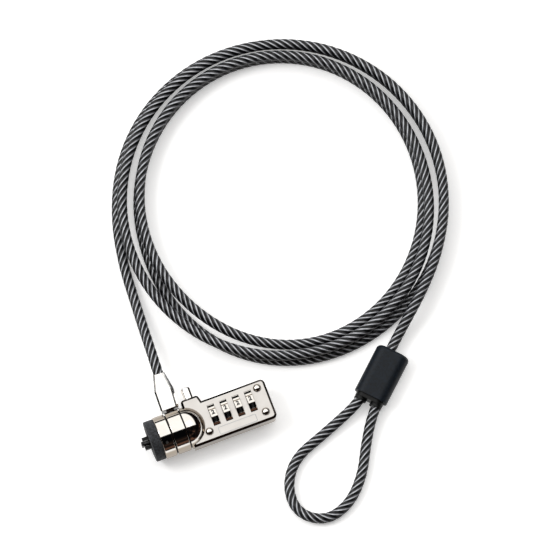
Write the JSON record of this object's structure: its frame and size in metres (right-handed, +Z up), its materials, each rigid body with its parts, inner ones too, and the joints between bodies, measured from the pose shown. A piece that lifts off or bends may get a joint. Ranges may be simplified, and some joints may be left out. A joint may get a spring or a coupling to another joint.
{
  "type": "combination cable lock",
  "caption": "Combination lock for a laptop's security slot, with number dials, push button, swivel ring and a long coiled steel cable with an end eye.",
  "frame": {"origin": "on the surface, under the middle of the lock's box without its cable", "axes": "+X along the barrel from the slot's nose to the dials' end, +Y from the barrel to the push button, +Z up from the surface to the dials' face"},
  "size_m": [0.2033, 0.2583, 0.0229],
  "materials": {
    "pad_rubber": "fine grained",
    "bright_chrome": "mirror",
    "black_plastic": "matt",
    "dark_steel": "blackened",
    "plain_steel": "plain",
    "satin_metal": "satin",
    "satin_nickel": "satin",
    "coated_rope": "smoky clear coat over wire rope",
    "sleeve_plastic": "matt",
    "aluminium_crimp": "dull",
    "dial_black": "black lacquer filled into the dials' numerals",
    "dial_chrome": "bright",
    "brass_hub": "plain"
  },
  "bodies": {
    "cable": {"cable_coil": "coated_rope", "cable_lead": "coated_rope", "cable_tail": "coated_rope", "cable_eye": "coated_rope", "ferrule_sleeve": "sleeve_plastic", "crimp_sleeve": "aluminium_crimp", "yoke": "satin_metal", "yoke_plug": "plain_steel"},
    "swivel": {"swivel_ring": "bright_chrome", "yoke_pin": "plain_steel"},
    "lock": {"body_housing": "bright_chrome", "face_plate": "satin_nickel", "face_rivets": "bright_chrome", "front_collar": "bright_chrome", "collar_pin": "bright_chrome", "rubber_pad": "pad_rubber", "guide_pins": "black_plastic", "swivel_washers": "black_plastic", "dial_shaft": "plain_steel", "dial_spacers": "plain_steel", "detent_spring": "plain_steel", "button_spring": "plain_steel"},
    "button": {"push_button": "bright_chrome"},
    "bar": {"t_bar": "dark_steel"},
    "screw": {"code_screw": "plain_steel"},
    "code_wheel_1": {"dial_1": "dial_chrome", "code_hub_1": "brass_hub"},
    "code_wheel_2": {"dial_2": "dial_chrome", "code_hub_2": "brass_hub"},
    "code_wheel_3": {"dial_3": "dial_chrome", "code_hub_3": "brass_hub"},
    "code_wheel_4": {"dial_4": "dial_chrome", "code_hub_4": "brass_hub"}
  },
  "joints": [
    {"name": "yoke_hinge", "type": "hinge", "parent": "cable", "child": "swivel", "pos_m": [-0.0155, 0.00505, 0.01145], "axis": [0, 0, 1], "range_deg": [-8, 5]},
    {"name": "swivel_turn", "type": "hinge", "parent": "swivel", "child": "lock", "pos_m": [-0.0155, -0.00435, 0.01145], "axis": [1, 0, 0], "continuous": true},
    {"name": "button_press", "type": "slide", "parent": "lock", "child": "button", "axis": [0, -1, 0], "range_m": [0, 0.00393], "stiffness_N_per_m": 400, "springref_m": -0.004, "deforming": ["button_spring"]},
    {"name": "bar_turn", "type": "hinge", "parent": "lock", "child": "bar", "pos_m": [-0.0311, -0.00435, 0.01145], "axis": [1, 0, 0], "range_deg": [-90.1, 0.1]},
    {"name": "screw_turn", "type": "hinge", "parent": "lock", "child": "screw", "pos_m": [0.0329, -0.00335, 0.01145], "axis": [1, 0, 0], "range_deg": [0, 90]},
    {"name": "dial_1_turn", "type": "hinge", "parent": "lock", "child": "code_wheel_1", "pos_m": [0.0049, -0.00335, 0.01145], "axis": [1, 0, 0], "continuous": true},
    {"name": "dial_2_turn", "type": "hinge", "parent": "lock", "child": "code_wheel_2", "pos_m": [0.01176, -0.00335, 0.01145], "axis": [1, 0, 0], "continuous": true},
    {"name": "dial_3_turn", "type": "hinge", "parent": "lock", "child": "code_wheel_3", "pos_m": [0.01862, -0.00335, 0.01145], "axis": [1, 0, 0], "continuous": true},
    {"name": "dial_4_turn", "type": "hinge", "parent": "lock", "child": "code_wheel_4", "pos_m": [0.02548, -0.00335, 0.01145], "axis": [1, 0, 0], "continuous": true}
  ],
  "couplings": [
    {"joint": "bar_turn", "follows": "button_press", "rad_per_m": -400}
  ]
}
